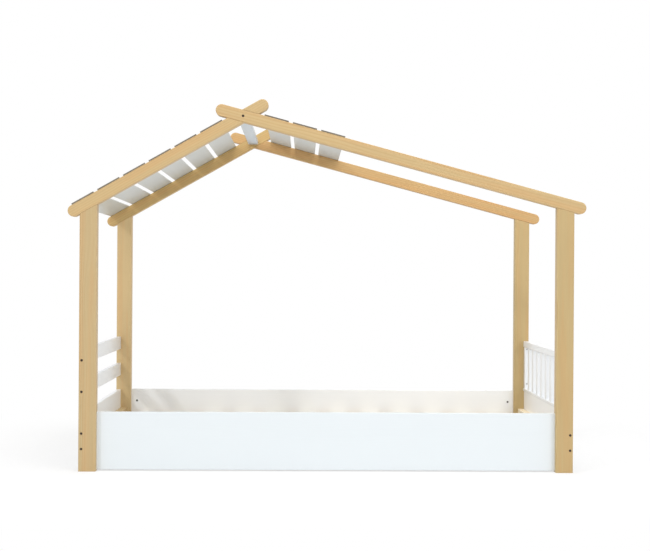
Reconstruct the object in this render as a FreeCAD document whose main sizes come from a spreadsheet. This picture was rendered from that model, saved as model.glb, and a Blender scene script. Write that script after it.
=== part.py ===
import FreeCAD, Part
import math
import os
import re

# A child's house frame bed: four posts, four rafters that cross at an off-centre
# ridge, a slatted part roof, low panels all round, a boarded head end, a barred
# foot end and a sprung slat base. Millimetres. +X to the foot end, +Y to the back,
# +Z up. The origin lies on the floor, midway between the posts.

Vector = FreeCAD.Vector
Rotation = FreeCAD.Rotation
Placement = FreeCAD.Placement

HEAD, FOOT = -1, 1       # the two ends, along X
FRONT, BACK = -1, 1      # the two long sides, along Y
END_NAMES = {HEAD: "head", FOOT: "foot"}
SIDE_NAMES = {FRONT: "front", BACK: "back"}
PITCH_NAMES = {HEAD: "head_pitch", FOOT: "foot_pitch"}

# ---------------------------------------------------------------- driving sizes
SIZES = {
    "bed_length": (2060, "over the posts, head to foot"),
    "bed_width": (980, "over the posts, front to back"),
    "post_width": (72, "post, along the bed"),
    "post_depth": (40, "post and rafter, across the bed"),
    "edge_round": (3, "rounding of the long edges of the timber"),
    "ridge_offset": (356, "ridge from the middle, towards the head"),
    "ridge_height": (1480, "middle of the rafter crossing above the floor"),
    "head_pitch": (29.7, "slope of the head side rafters, degrees"),
    "foot_pitch": (14.8, "slope of the foot side rafters, degrees"),
    "rafter_height": (50, "rafter, square to its slope"),
    "eaves_overhang": (50, "rafter end beyond the post"),
    "ridge_tail": (117, "rafter end beyond the middle of the crossing"),
    "lap_clearance": (0.2, "beside a rafter in the halved crossing"),
    "ridge_rail_width": (48, "rail between the two crossings, along the bed"),
    "ridge_rail_thickness": (20, "rail between the two crossings, upright"),
    "roof_slat_width": (104, "roof slat, down the slope"),
    "roof_slat_gap": (18, "between two roof slats"),
    "roof_slat_thickness": (5, "roof slat"),
    "roof_slat_start": (85, "first roof slat from the middle of the crossing"),
    "roof_slat_round": (1, "rounding of the roof slats' long edges"),
    "head_slat_count": (6, "roof slats on the head side slope"),
    "foot_slat_count": (3, "roof slats on the foot side slope"),
    "panel_height": (240, "side panels and low end boards"),
    "panel_lift": (5, "their lower edge above the floor"),
    "panel_thickness": (18, "side panels"),
    "panel_setback": (22, "front panel behind the front of the posts"),
    "panel_round": (2, "rounding of the boards' long edges"),
    "end_board_thickness": (20, "boards of the head and the foot"),
    "end_board_setback": (2, "end boards inside the posts' outer face"),
    "head_board_height": (62, "the two upper boards of the head"),
    "middle_board_centre": (346, "middle of the middle head board above the floor"),
    "top_board_centre": (477, "middle of the top head board above the floor"),
    "guard_height": (250, "barred guard of the foot, over its rails"),
    "guard_rail_thickness": (24, "guard rails, along the bed"),
    "top_rail_height": (30, "guard's top rail"),
    "bottom_rail_height": (15, "guard's bottom rail"),
    "guard_stile_width": (30, "guard's stiles, across the bed"),
    "guard_stile_thickness": (20, "guard's stiles, along the bed"),
    "stile_shoulder": (7, "beside the tenon of a stile"),
    "guard_bar_width": (30, "guard bars, across the bed"),
    "guard_bar_thickness": (18, "guard bars, along the bed"),
    "guard_bar_count": (8, "guard bars between the stiles"),
    "mortise_depth": (6, "bars and stiles let into the guard rails"),
    "mortise_clearance": (0.2, "round a bar or tenon in its mortise"),
    "end_ledger_width": (30, "end ledgers, along the bed"),
    "end_ledger_height": (30, "end ledgers, upright"),
    "end_ledger_top": (156, "top of the end ledgers above the floor"),
    "side_ledger_width": (30, "side ledgers, across the bed"),
    "side_ledger_height": (30, "side ledgers, upright, at their middle"),
    "side_ledger_gap": (2, "side ledger to post"),
    "base_slat_width": (85, "sprung slats of the base"),
    "base_slat_thickness": (8, "sprung slats of the base"),
    "base_slat_rise": (26, "bow of a sprung slat"),
    "base_slat_count": (12, "sprung slats"),
    "base_slat_gap": (3, "sprung slat's end to side panel"),
    "base_slat_seat": (0.05, "room under a sprung slat on its ledger"),
    "bolt_diameter": (6, "frame bolts"),
    "bolt_head_diameter": (10, "frame bolts"),
    "bolt_head_height": (4, "frame bolts"),
    "bolt_socket": (4, "across the flats of the bolts' hexagon socket"),
    "bolt_socket_depth": (2.5, "hexagon socket"),
    "bolt_recess": (6, "counterbore under a bolt head"),
    "bolt_recess_diameter": (11, "counterbore under a bolt head"),
    "bolt_bite": (40, "bolt beyond the face of the piece it draws in"),
    "bore_clearance": (0.25, "round a bolt, nut, dowel or screw in its bore"),
    "bore_spare": (1, "bore beyond the end of its dowel, bolt or screw"),
    "low_bolt_height": (93, "lower bolts of the low end boards above the floor"),
    "low_bolt_spacing": (64, "between the two bolts of a low end board"),
    "board_fixing": (16, "bolt below and dowel above the middle of a head board"),
    "panel_bolt_edge": (58, "side panel bolts from the panel's edges"),
    "nut_diameter": (10, "barrel nuts"),
    "nut_length": (14, "barrel nuts"),
    "nut_slot_width": (1.6, "turning slot in a barrel nut"),
    "nut_slot_depth": (2, "turning slot in a barrel nut"),
    "nut_distance": (28, "barrel nut from the end of its board"),
    "dowel_diameter": (8, "wooden dowels"),
    "dowel_length": (50, "wooden dowels"),
    "dowel_chamfer": (1, "wooden dowels' ends"),
    "rafter_dowel_spread": (22, "rafter dowels each side of the post's middle"),
    "rafter_screw_length": (110, "long screws through rafters into posts"),
    "rafter_screw_diameter": (6, "long screws"),
    "rafter_screw_head": (12, "long screws"),
    "screw_length": (43, "screws of the ledgers and the guard"),
    "screw_diameter": (4, "screws of the ledgers and the guard"),
    "screw_head": (8, "screws of the ledgers and the guard"),
    "guard_screw_spread": (86, "guard screws above and below the guard's middle"),
    "side_ledger_screws": (5, "screws in each side ledger"),
    "end_ledger_screws": (3, "screws in each end ledger"),
    "ledger_screw_edge": (60, "first ledger screw from the ledger's end"),
    "slat_screw_length": (20, "screws of the roof slats and the base slats"),
    "slat_screw_diameter": (3, "screws of the roof slats and the base slats"),
    "slat_screw_head": (6, "screws of the roof slats and the base slats"),
    "slat_screw_edge": (20, "roof slat screws from the slat's long edges"),
}

# Lengths and places that follow from the driving sizes, in the same words.
DERIVED = {
    "half_length": "bed_length / 2",
    "half_width": "bed_width / 2",
    "inner_length": "bed_length - 2 * post_width",
    "inner_width": "bed_width - 2 * post_depth",
    "rafter_half": "rafter_height / 2",
    "panel_top": "panel_lift + panel_height",
    "front_panel_place": "panel_setback - half_width",
    "back_panel_place": "half_width - post_depth + panel_setback",
    "bay_front": "front_panel_place + panel_thickness",
    "bay_width": "back_panel_place - bay_front",
    "bay_middle": "bay_front + bay_width / 2",
    "end_bolt_edge": "end_board_setback + end_board_thickness / 2",
    "end_board_face": "half_length - end_board_setback - end_board_thickness",
    "guard_middle_x": "half_length - end_board_setback - guard_rail_thickness / 2",
    "guard_middle_z": "panel_top + guard_height / 2",
    "guard_top": "panel_top + guard_height",
    "clear_height": "guard_height - top_rail_height - bottom_rail_height",
    "bar_length": "clear_height + 2 * mortise_depth",
    "bar_foot": "panel_top + bottom_rail_height - mortise_depth",
    "bar_gap": "(inner_width - 2 * guard_stile_width"
               " - guard_bar_count * guard_bar_width) / (guard_bar_count + 1)",
    "bar_pitch": "bar_gap + guard_bar_width",
    "side_ledger_length": "inner_length - 2 * side_ledger_gap",
    "slat_reach": "bay_width / 2 - base_slat_gap",
    "slat_radius": "(slat_reach ^ 2 + base_slat_rise ^ 2) / (2 * base_slat_rise)",
    "slat_crown": "end_ledger_top - base_slat_thickness / 2",
    "slat_bay": "2 * (end_board_face - end_ledger_width)",
    "slat_space": "(slat_bay - base_slat_count * base_slat_width) / (base_slat_count + 1)",
    "seat_reach": "bay_width / 2 - side_ledger_width / 2",
    "seat_radius": "slat_radius - base_slat_thickness / 2",
    "seat_place": "slat_crown - slat_radius + sqrt(seat_radius ^ 2 - seat_reach ^ 2)"
                  " - base_slat_seat",
    "seat_angle": "asin(seat_reach / seat_radius)",
    "roof_slat_pitch": "roof_slat_width + roof_slat_gap",
    "frame_bolt_length": "post_depth - bolt_recess + bolt_bite",
    "panel_bolt_length": "post_width - bolt_recess + bolt_bite",
}

doc = FreeCAD.newDocument("HouseFrameBed")
sheet = doc.addObject("Spreadsheet::Sheet", "Sizes")
for row, (alias, (number, note)) in enumerate(SIZES.items(), start=1):
    sheet.set(f"A{row}", note)
    sheet.set(f"B{row}", str(number))
    sheet.setAlias(f"B{row}", alias)
doc.recompute()


def formula(text):
    """A formula in the words above, written out for an expression."""
    def written(match):
        word = match.group(0)
        if word in DERIVED:
            return "(" + formula(DERIVED[word]) + ")"
        return "Sizes." + word if word in SIZES else word
    return re.sub(r"[a-z]+(?:_[a-z]+)*", written, str(text))


def size(text):
    """The number that a formula comes to, in millimetres or degrees."""
    result = sheet.evalExpression(formula(text))
    return float(getattr(result, "Value", result))


def bind(item, **properties):
    """Bind properties to formulas; x, y and z stand for the place."""
    for name, text in properties.items():
        path = "Placement.Base." + name if name in "xyz" else name
        item.setExpression(path, formula(text))


# ---------------------------------------------------------------------- features
NODES = []


def toward(x, y, z):
    """The turn that makes +Z point along a direction."""
    return Rotation(Vector(0, 0, 1), Vector(x, y, z))


UPRIGHT = Rotation()
DOWN = toward(0, 0, -1)


def new_body(label, x="0", y="0", z="0", turn=UPRIGHT):
    """An empty body, with its place bound to formulas."""
    body = doc.addObject("PartDesign::Body", label)
    body.Label = label
    body.Placement = Placement(Vector(), turn)
    bind(body, x=x, y=y, z=z)
    NODES.append(body)
    return body


def feature(body, kind, turn, x, y, z, **sizes):
    """One primitive feature of a body, turned as asked and bound to formulas."""
    item = body.newObject("PartDesign::" + kind, f"{body.Label}_{kind.lower()}")
    item.Placement = Placement(Vector(), turn)
    bind(item, x=x, y=y, z=z, **sizes)
    return item


def block(body, length, width, height, x="0", y="0", z="0"):
    """Add a block, from its lowest corner."""
    return feature(body, "AdditiveBox", UPRIGHT, x, y, z,
                   Length=length, Width=width, Height=height)


def pocket(body, length, width, height, x, y, z, turn=UPRIGHT):
    """Cut a block out of a body."""
    return feature(body, "SubtractiveBox", turn, x, y, z,
                   Length=length, Width=width, Height=height)


def bore(body, diameter, depth, x, y, z, turn):
    """Cut a round hole, from its mouth along its turned +Z."""
    return feature(body, "SubtractiveCylinder", turn, x, y, z,
                   Radius=f"({diameter}) / 2", Height=depth)


def clear(diameter):
    """The bore for a fastener of this diameter."""
    return f"{diameter} + 2 * bore_clearance"


def countersink(body, head, shank, depth, x, y, z, turn):
    """Cut a countersunk screw's hole, from its mouth along its turned +Z."""
    feature(body, "SubtractiveCone", turn, x, y, z,
            Radius1=f"({clear(head)}) / 2", Radius2=f"({clear(shank)}) / 2",
            Height=f"({head} - {shank}) / 2")
    bore(body, clear(shank), depth, x, y, z, turn)


def bolt_bore(body, depth, x, y, z, turn):
    """Cut a frame bolt's bore with the counterbore for its head."""
    bore(body, clear("bolt_diameter"), depth, x, y, z, turn)
    bore(body, "bolt_recess_diameter", "bolt_recess", x, y, z, turn)


def round_edges(body, base, wanted, radius="edge_round"):
    """Round those edges of a feature that pass a test."""
    doc.recompute()
    names = [f"Edge{n}" for n, edge in enumerate(base.Shape.Edges, start=1) if wanted(edge)]
    item = body.newObject("PartDesign::Fillet", f"{body.Label}_rounding")
    item.Base = (base, names)
    bind(item, Radius=radius)
    return item


def along(axis):
    """A test for straight edges along one axis: 0, 1 or 2 for X, Y or Z."""
    def test(edge):
        straight = edge.Curve.TypeId == "Part::GeomLine"
        return straight and abs(edge.tangentAt(edge.FirstParameter)[axis]) > 0.999999
    return test


def on_faces(edge):
    """A test for edges that lie in a front or back face."""
    return edge.BoundBox.YLength < 1e-3


def lower_long_edge(edge):
    """A test for the lower straight edges along X."""
    return along(0)(edge) and edge.BoundBox.ZMax < 1e-3


def bowed_edge(edge):
    """A test for the bowed long edges of a sprung slat."""
    return edge.Curve.TypeId == "Part::GeomCircle" and edge.BoundBox.XLength < 1e-3


def board(label, sizes, place, grain, radius="panel_round"):
    """A plain board with the edges along its grain axis rounded."""
    body = new_body(label, *place)
    base = block(body, *sizes)
    round_edges(body, base, along(grain), radius)
    return body


# Places of the fasteners, filled in as the pieces are bored: (x, y, z, turn) of
# each, where the turn makes +Z point the way that the fastener goes in.
frame_bolts, panel_bolts, barrel_nuts, dowels = [], [], [], []
rafter_screws, ledger_screws, guard_screws, slat_screws = [], [], [], []


# ------------------------------------------------------------ slopes of the roof
def turned(end):
    """The turn of all that follows one slope: +X then runs along the slope."""
    return Rotation(Vector(0, 1, 0), end * size(PITCH_NAMES[end]))


def slope(end):
    """Sine, cosine and tangent of one slope's turn, as formulas."""
    angle = f"({PITCH_NAMES[end]} * 1 deg)"
    return f"({end} * sin{angle})", f"cos{angle}", f"({end} * tan{angle})"


def seat_height(end, x):
    """Height of the rafters' underside above the floor at a place along the bed."""
    _, cosine, tangent = slope(end)
    return f"ridge_height - (({x}) + ridge_offset) * {tangent} - rafter_half / {cosine}"


def on_slope(end, distance, height):
    """World x and z of a point of a rafter, from the middle of the crossing."""
    sine, cosine, _ = slope(end)
    x = f"({distance}) * {cosine} + ({height}) * {sine} - ridge_offset"
    z = f"ridge_height - ({distance}) * {sine} + ({height}) * {cosine}"
    return x, z


def post_joint(end):
    """Middle of the post's top along the rafter, from the middle of the crossing."""
    _, cosine, tangent = slope(end)
    return (f"(({end} * (half_length - post_width / 2) + ridge_offset) / {cosine}"
            f" + rafter_half * {tangent})")


# ------------------------------------------------------------------------- posts
def make_post(end, side):
    """A post, its top cut to the slope that the rafter lies on."""
    left = "-half_length" if end == HEAD else "(half_length - post_width)"
    front = "-half_width" if side == FRONT else "(half_width - post_depth)"
    sine, cosine, _ = slope(end)
    body = new_body(f"post_{SIDE_NAMES[side]}_{END_NAMES[end]}", left, front)
    high_side = f"{left} + post_width" if end == HEAD else left
    base = block(body, "post_width", "post_depth",
                 f"{seat_height(end, high_side)} + rafter_height")
    round_edges(body, base, along(2))
    pocket(body, "post_width * 4", "post_depth * 2", "post_width * 2",
           f"-post_width * {cosine}", "-post_depth / 2",
           f"{seat_height(end, left)} + post_width * {sine}", turned(end))

    # dowels and a long screw hold the rafter
    into_post = turned(end).multiply(DOWN)
    seat = seat_height(end, f"{left} + post_width / 2")
    for offset in ("-rafter_dowel_spread", "rafter_dowel_spread"):
        x = f"post_width / 2 + ({offset}) * {cosine}"
        z = f"{seat} - ({offset}) * {sine}"
        bore(body, clear("dowel_diameter"), "dowel_length / 2 + bore_spare",
             x, "post_depth / 2", z, into_post)
        dowels.append((f"{left} + {x}", f"{front} + post_depth / 2", z, into_post))
    bore(body, clear("rafter_screw_diameter"),
         "rafter_screw_length - rafter_height + bore_spare",
         "post_width / 2", "post_depth / 2", seat, into_post)

    # bolts along the bed draw the side panel in
    outer = "0" if end == HEAD else "post_width"
    y = "panel_setback + panel_thickness / 2"
    for z in ("panel_lift + panel_bolt_edge", "panel_top - panel_bolt_edge"):
        bolt_bore(body, "post_width", outer, y, z, toward(-end, 0, 0))
        panel_bolts.append((f"{left} + {outer} - ({end}) * bolt_recess",
                            f"{front} + {y}", z, toward(-end, 0, 0)))

    # bolts across the bed draw the end boards in
    x = "end_bolt_edge" if end == HEAD else "post_width - end_bolt_edge"
    outer, inner = ("0", "post_depth") if side == FRONT else ("post_depth", "0")
    heights = ["low_bolt_height", "low_bolt_height + low_bolt_spacing"]
    if end == HEAD:
        for centre in ("middle_board_centre", "top_board_centre"):
            heights.append(f"{centre} - board_fixing")
            bore(body, clear("dowel_diameter"), "dowel_length / 2 + bore_spare",
                 x, inner, f"{centre} + board_fixing", toward(0, side, 0))
            dowels.append((f"{left} + {x}", f"{front} + {inner}",
                           f"{centre} + board_fixing", toward(0, side, 0)))
    for z in heights:
        bolt_bore(body, "post_depth", x, outer, z, toward(0, -side, 0))
        frame_bolts.append((f"{left} + {x}", f"{front} + {outer} - ({side}) * bolt_recess",
                            z, toward(0, -side, 0)))

    # pilot bores for the screws of the foot guard
    if end == FOOT:
        for sign in "-+":
            bore(body, clear("screw_diameter"),
                 "screw_length - guard_stile_width + bore_spare",
                 "guard_middle_x - half_length + post_width", inner,
                 f"guard_middle_z {sign} guard_screw_spread", toward(0, side, 0))


# ----------------------------------------------------------------------- rafters
def slat_starts(end):
    """Distances of the roof slats' upper edges from the middle of the crossing."""
    count = int(size(f"{END_NAMES[end]}_slat_count"))
    return [f"(roof_slat_start + {n} * roof_slat_pitch)" for n in range(count)]


def make_rafter(end, side):
    """A rafter with round ends, halved where it crosses its partner."""
    front = "-half_width" if side == FRONT else "half_width - post_depth"
    _, cosine, _ = slope(end)
    body = new_body(f"rafter_{SIDE_NAMES[side]}_{END_NAMES[end]}",
                    "-ridge_offset", front, "ridge_height", turned(end))
    low = f"(({end} * (half_length + eaves_overhang - rafter_half) + ridge_offset) / {cosine})"
    high = f"({-end} * (ridge_tail - rafter_half))"
    first, last = (low, high) if end == HEAD else (high, low)
    block(body, f"{last} - {first}", "post_depth", "rafter_height", first, "0", "-rafter_half")
    for x in (first, last):
        tip = feature(body, "AdditiveCylinder", toward(0, 1, 0), x, "0", "0",
                      Radius="rafter_half", Height="post_depth")
    round_edges(body, tip, on_faces)

    # the halving: foot side rafters keep their outer half at the crossing
    angle = f"({-end} * (head_pitch + foot_pitch) * 1 deg)"
    reach, band = "(rafter_height * 2)", "(rafter_half + lap_clearance)"
    near = "post_depth / 2" if end * side == BACK * HEAD else "-post_depth / 2"
    pocket(body, f"2 * {reach}", "post_depth", f"2 * {band}",
           f"-{reach} * cos{angle} - {band} * sin{angle}", near,
           f"{reach} * sin{angle} - {band} * cos{angle}",
           Rotation(Vector(0, 1, 0), size(angle)))
    outer = "0" if side == FRONT else "post_depth"
    bolt_bore(body, "post_depth", "0", outer, "0", toward(0, -side, 0))
    if end == FOOT:
        frame_bolts.append(("-ridge_offset", f"{front} + {outer} - ({side}) * bolt_recess",
                            "ridge_height", toward(0, -side, 0)))

    # the post's dowels and long screw
    joint = post_joint(end)
    for offset in ("- rafter_dowel_spread", "+ rafter_dowel_spread"):
        bore(body, clear("dowel_diameter"), "dowel_length / 2 + bore_spare",
             f"{joint} {offset}", "post_depth / 2", "-rafter_half", UPRIGHT)
    countersink(body, "rafter_screw_head", "rafter_screw_diameter", "rafter_height",
                joint, "post_depth / 2", "rafter_half", DOWN)
    x, z = on_slope(end, joint, "rafter_half")
    rafter_screws.append((x, f"{front} + post_depth / 2", z, turned(end).multiply(DOWN)))

    # pilot bores for the screws of the roof slats
    for start in slat_starts(end):
        for place in ("slat_screw_edge", "roof_slat_width - slat_screw_edge"):
            bore(body, clear("slat_screw_diameter"),
                 "slat_screw_length - roof_slat_thickness + bore_spare",
                 f"{end} * ({start} + {place})", "post_depth / 2", "rafter_half", DOWN)


# -------------------------------------------------------------------- roof slats
def make_roof_slat(end, number, start):
    """One thin slat across both rafters of a slope."""
    corner = start if end == FOOT else f"-({start} + roof_slat_width)"
    x, z = on_slope(end, corner, "rafter_half")
    body = new_body(f"roof_slat_{END_NAMES[end]}_{number}", x, "-half_width", z, turned(end))
    base = block(body, "roof_slat_width", "bed_width", "roof_slat_thickness")
    round_edges(body, base, along(1), "roof_slat_round")
    for place in ("slat_screw_edge", "roof_slat_width - slat_screw_edge"):
        for y in ("post_depth / 2", "bed_width - post_depth / 2"):
            countersink(body, "slat_screw_head", "slat_screw_diameter", "roof_slat_thickness",
                        place, y, "roof_slat_thickness", DOWN)
            screw_x, screw_z = on_slope(end, f"{corner} + {place}",
                                        "rafter_half + roof_slat_thickness")
            slat_screws.append((screw_x, f"{y} - half_width", screw_z,
                                turned(end).multiply(DOWN)))


# -------------------------------------------------------------------- ridge rail
def nut_bore(body, thickness, x, y, z, turn):
    """Cut the blind bore that a barrel nut sits at the bottom of."""
    bore(body, clear("nut_diameter"), f"({thickness} + nut_length) / 2", x, y, z, turn)


def make_ridge_rail():
    """The rail between the two crossings, drawn in by a bolt at each end."""
    left = "-ridge_offset - ridge_rail_width / 2"
    low = "ridge_height - ridge_rail_thickness / 2"
    body = board("ridge_rail", ("ridge_rail_width", "inner_width", "ridge_rail_thickness"),
                 (left, "-inner_width / 2", low), 1)
    for side, y in ((FRONT, "0"), (BACK, "inner_width")):
        bore(body, clear("bolt_diameter"), "bolt_bite + bore_spare",
             "ridge_rail_width / 2", y, "ridge_rail_thickness / 2", toward(0, -side, 0))
        nut_bore(body, "ridge_rail_thickness", "ridge_rail_width / 2",
                 f"{y} - ({side}) * nut_distance", "0", UPRIGHT)
        barrel_nuts.append(("-ridge_offset", f"({side}) * (inner_width / 2 - nut_distance)",
                            "ridge_height", "Y", UPRIGHT))


# ------------------------------------------------------------------ end boards
def make_end_board(label, end, low, height, bolts, dowel, nuts_from_outside):
    """A board between two posts, held by bolts and, where it is narrow, a dowel."""
    left = "end_board_face" if end == FOOT else "-(half_length - end_board_setback)"
    body = board(label, ("end_board_thickness", "inner_width", height),
                 (left, "-inner_width / 2", low), 1)
    pointing = -end if nuts_from_outside else end
    face = "0" if pointing > 0 else "end_board_thickness"
    middle = "end_board_thickness / 2"
    for side, y in ((FRONT, "0"), (BACK, "inner_width")):
        for bolt in bolts:
            bore(body, clear("bolt_diameter"), "bolt_bite + bore_spare",
                 middle, y, f"{bolt} - ({low})", toward(0, -side, 0))
            nut_bore(body, "end_board_thickness", face,
                     f"{y} - ({side}) * nut_distance", f"{bolt} - ({low})",
                     toward(pointing, 0, 0))
            barrel_nuts.append((f"{left} + {middle}",
                                f"({side}) * (inner_width / 2 - nut_distance)",
                                bolt, "Y", toward(pointing, 0, 0)))
        if dowel:
            bore(body, clear("dowel_diameter"), "dowel_length / 2 + bore_spare",
                 middle, y, f"{dowel} - ({low})", toward(0, -side, 0))
    return body


def make_end_boards():
    """The low board of each end and the two upper boards of the head."""
    low_bolts = ("low_bolt_height", "low_bolt_height + low_bolt_spacing")
    for end in (HEAD, FOOT):
        body = make_end_board(f"{END_NAMES[end]}_low_board", end, "panel_lift",
                              "panel_height", low_bolts, None, False)
        face = "0" if end == FOOT else "end_board_thickness"
        for y in ledger_screw_places("inner_width", "end_ledger_screws"):
            bore(body, clear("screw_diameter"), "screw_length - end_ledger_width + bore_spare",
                 face, y, "end_ledger_top - end_ledger_height / 2 - panel_lift",
                 toward(end, 0, 0))
    for name in ("middle", "top"):
        centre = f"{name}_board_centre"
        make_end_board(f"head_{name}_board", HEAD, f"{centre} - head_board_height / 2",
                       "head_board_height", (f"{centre} - board_fixing",),
                       f"{centre} + board_fixing", True)


# ------------------------------------------------------------------- side panels
def ledger_screw_places(length, count):
    """Places of the screws along a ledger, evenly spread between its ends."""
    number = int(size(count))
    return [f"ledger_screw_edge + {n} * ({length} - 2 * ledger_screw_edge) / ({count} - 1)"
            for n in range(number)]


def make_side_panel(side):
    """A low panel between the posts of one long side."""
    place = "front_panel_place" if side == FRONT else "back_panel_place"
    body = board(f"{SIDE_NAMES[side]}_panel", ("inner_length", "panel_thickness", "panel_height"),
                 ("-inner_length / 2", place, "panel_lift"), 0)
    inner = "panel_thickness" if side == FRONT else "0"
    for end, x in ((HEAD, "0"), (FOOT, "inner_length")):
        for z in ("panel_bolt_edge", "panel_height - panel_bolt_edge"):
            bore(body, clear("bolt_diameter"), "bolt_bite + bore_spare",
                 x, "panel_thickness / 2", z, toward(-end, 0, 0))
            nut_bore(body, "panel_thickness", f"{x} - ({end}) * nut_distance", inner, z,
                     toward(0, side, 0))
            barrel_nuts.append((f"({end}) * (inner_length / 2 - nut_distance)",
                                f"{place} + panel_thickness / 2", f"panel_lift + {z}",
                                "X", toward(0, side, 0)))
    for x in ledger_screw_places("side_ledger_length", "side_ledger_screws"):
        bore(body, clear("screw_diameter"), "screw_length - side_ledger_width + bore_spare",
             f"side_ledger_gap + {x}", inner,
             "seat_place - side_ledger_height / 2 - panel_lift", toward(0, side, 0))


# ------------------------------------------------------------------------ ledgers
def make_side_ledger(side):
    """The ledger under the slats' ends, its top planed to the slats' slope."""
    place = "bay_front" if side == FRONT else "back_panel_place - side_ledger_width"
    low = "seat_place - side_ledger_height"
    body = new_body(f"{SIDE_NAMES[side]}_ledger", "-side_ledger_length / 2", place, low)
    base = block(body, "side_ledger_length", "side_ledger_width", "side_ledger_height * 1.2")
    round_edges(body, base, lower_long_edge, "panel_round")
    angle = f"({-side} * seat_angle)"
    pocket(body, "side_ledger_length + 2", "side_ledger_width * 2", "side_ledger_height",
           "-1", f"side_ledger_width / 2 - side_ledger_width * cos{angle}",
           f"side_ledger_height - side_ledger_width * sin{angle}",
           Rotation(Vector(1, 0, 0), size(angle)))
    inner = "side_ledger_width" if side == FRONT else "0"
    for x in ledger_screw_places("side_ledger_length", "side_ledger_screws"):
        countersink(body, "screw_head", "screw_diameter", "side_ledger_width",
                    x, inner, "side_ledger_height / 2", toward(0, side, 0))
        ledger_screws.append((f"{x} - side_ledger_length / 2", f"{place} + {inner}",
                              "seat_place - side_ledger_height / 2", toward(0, side, 0)))
    into_ledger = Rotation(Vector(1, 0, 0), size(angle)).multiply(DOWN)
    for left in base_slat_places():
        bore(body, clear("slat_screw_diameter"),
             "slat_screw_length - base_slat_thickness + bore_spare",
             f"{left} + base_slat_width / 2 + side_ledger_length / 2",
             "side_ledger_width / 2", "side_ledger_height", into_ledger)


def make_end_ledger(end):
    """The bare pine ledger on the inner face of a low end board."""
    left = "end_board_face - end_ledger_width" if end == FOOT else "-end_board_face"
    body = board(f"{END_NAMES[end]}_ledger",
                 ("end_ledger_width", "inner_width", "end_ledger_height"),
                 (left, "-inner_width / 2", "end_ledger_top - end_ledger_height"), 1)
    inner = "0" if end == FOOT else "end_ledger_width"
    for y in ledger_screw_places("inner_width", "end_ledger_screws"):
        countersink(body, "screw_head", "screw_diameter", "end_ledger_width",
                    inner, y, "end_ledger_height / 2", toward(end, 0, 0))
        ledger_screws.append((f"{left} + {inner}", f"{y} - inner_width / 2",
                              "end_ledger_top - end_ledger_height / 2", toward(end, 0, 0)))


# --------------------------------------------------------------------- base slats
def base_slat_places():
    """Left edges of the sprung slats, evenly spread between the end ledgers."""
    return [f"({n} * base_slat_width + {n + 1} * slat_space - slat_bay / 2)"
            for n in range(int(size("base_slat_count")))]


def make_base_slat(number, left):
    """One sprung slat, bowed upwards and screwed to the side ledgers."""
    body = new_body(f"base_slat_{number:02d}", left, "bay_middle", "slat_crown")
    half = "asin(slat_reach / slat_radius)"
    sector = Rotation(Vector(1, 0, 0), 90 - size(half))
    sector = sector.multiply(Rotation(Vector(1, 1, 1), 120))
    feature(body, "AdditiveCylinder", sector, "0", "0", "-slat_radius",
            Radius="slat_radius + base_slat_thickness / 2", Height="base_slat_width",
            Angle=f"2 * {half}")
    cut = feature(body, "SubtractiveCylinder", toward(1, 0, 0), "0", "0", "-slat_radius",
                  Radius="slat_radius - base_slat_thickness / 2", Height="base_slat_width")
    round_edges(body, cut, bowed_edge, "panel_round")
    top = "(slat_radius + base_slat_thickness / 2)"
    for side in (FRONT, BACK):
        turn = Rotation(Vector(1, 0, 0), -side * size("seat_angle")).multiply(DOWN)
        y = f"({side}) * {top} * sin(seat_angle)"
        z = f"{top} * cos(seat_angle) - slat_radius"
        countersink(body, "slat_screw_head", "slat_screw_diameter", "base_slat_thickness",
                    "base_slat_width / 2", y, z, turn)
        slat_screws.append((f"{left} + base_slat_width / 2", f"bay_middle + {y}",
                            f"slat_crown + {z}", turn))


# --------------------------------------------------------------------- foot guard
def bar_starts():
    """Front edges of the guard bars, from the front end of the rails."""
    return [f"(guard_stile_width + bar_gap + {n} * bar_pitch)"
            for n in range(int(size("guard_bar_count")))]


def make_guard_rail(label, low, height, mortise_low):
    """A rail of the foot guard, mortised for the stiles' tenons and the bars."""
    body = board(label, ("guard_rail_thickness", "inner_width", height),
                 ("guard_middle_x - guard_rail_thickness / 2", "-inner_width / 2", low), 1,
                 "edge_round")
    middle = "guard_rail_thickness / 2"
    tenons = ["stile_shoulder", "inner_width - guard_stile_width + stile_shoulder"]
    sizes = [("guard_stile_thickness", "guard_stile_width - 2 * stile_shoulder", y)
             for y in tenons]
    sizes += [("guard_bar_thickness", "guard_bar_width", y) for y in bar_starts()]
    for thickness, width, y in sizes:
        pocket(body, f"{thickness} + 2 * mortise_clearance", f"{width} + 2 * mortise_clearance",
               "mortise_depth", f"{middle} - {thickness} / 2 - mortise_clearance",
               f"{y} - mortise_clearance", mortise_low)


def make_guard_stile(side):
    """A stile of the foot guard, tenoned into both rails and screwed to its post."""
    y = "-inner_width / 2" if side == FRONT else "inner_width / 2 - guard_stile_width"
    body = new_body(f"guard_stile_{SIDE_NAMES[side]}",
                    "guard_middle_x - guard_stile_thickness / 2", y, "bar_foot")
    base = block(body, "guard_stile_thickness", "guard_stile_width", "clear_height",
                 "0", "0", "mortise_depth")
    round_edges(body, base, along(2), "panel_round")
    block(body, "guard_stile_thickness", "guard_stile_width - 2 * stile_shoulder",
          "bar_length", "0", "stile_shoulder", "0")
    inner = "guard_stile_width" if side == FRONT else "0"
    for sign in "-+":
        height = f"guard_middle_z {sign} guard_screw_spread"
        countersink(body, "screw_head", "screw_diameter", "guard_stile_width",
                    "guard_stile_thickness / 2", inner, f"{height} - bar_foot",
                    toward(0, side, 0))
        guard_screws.append(("guard_middle_x", f"{y} + {inner}", height, toward(0, side, 0)))


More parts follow.
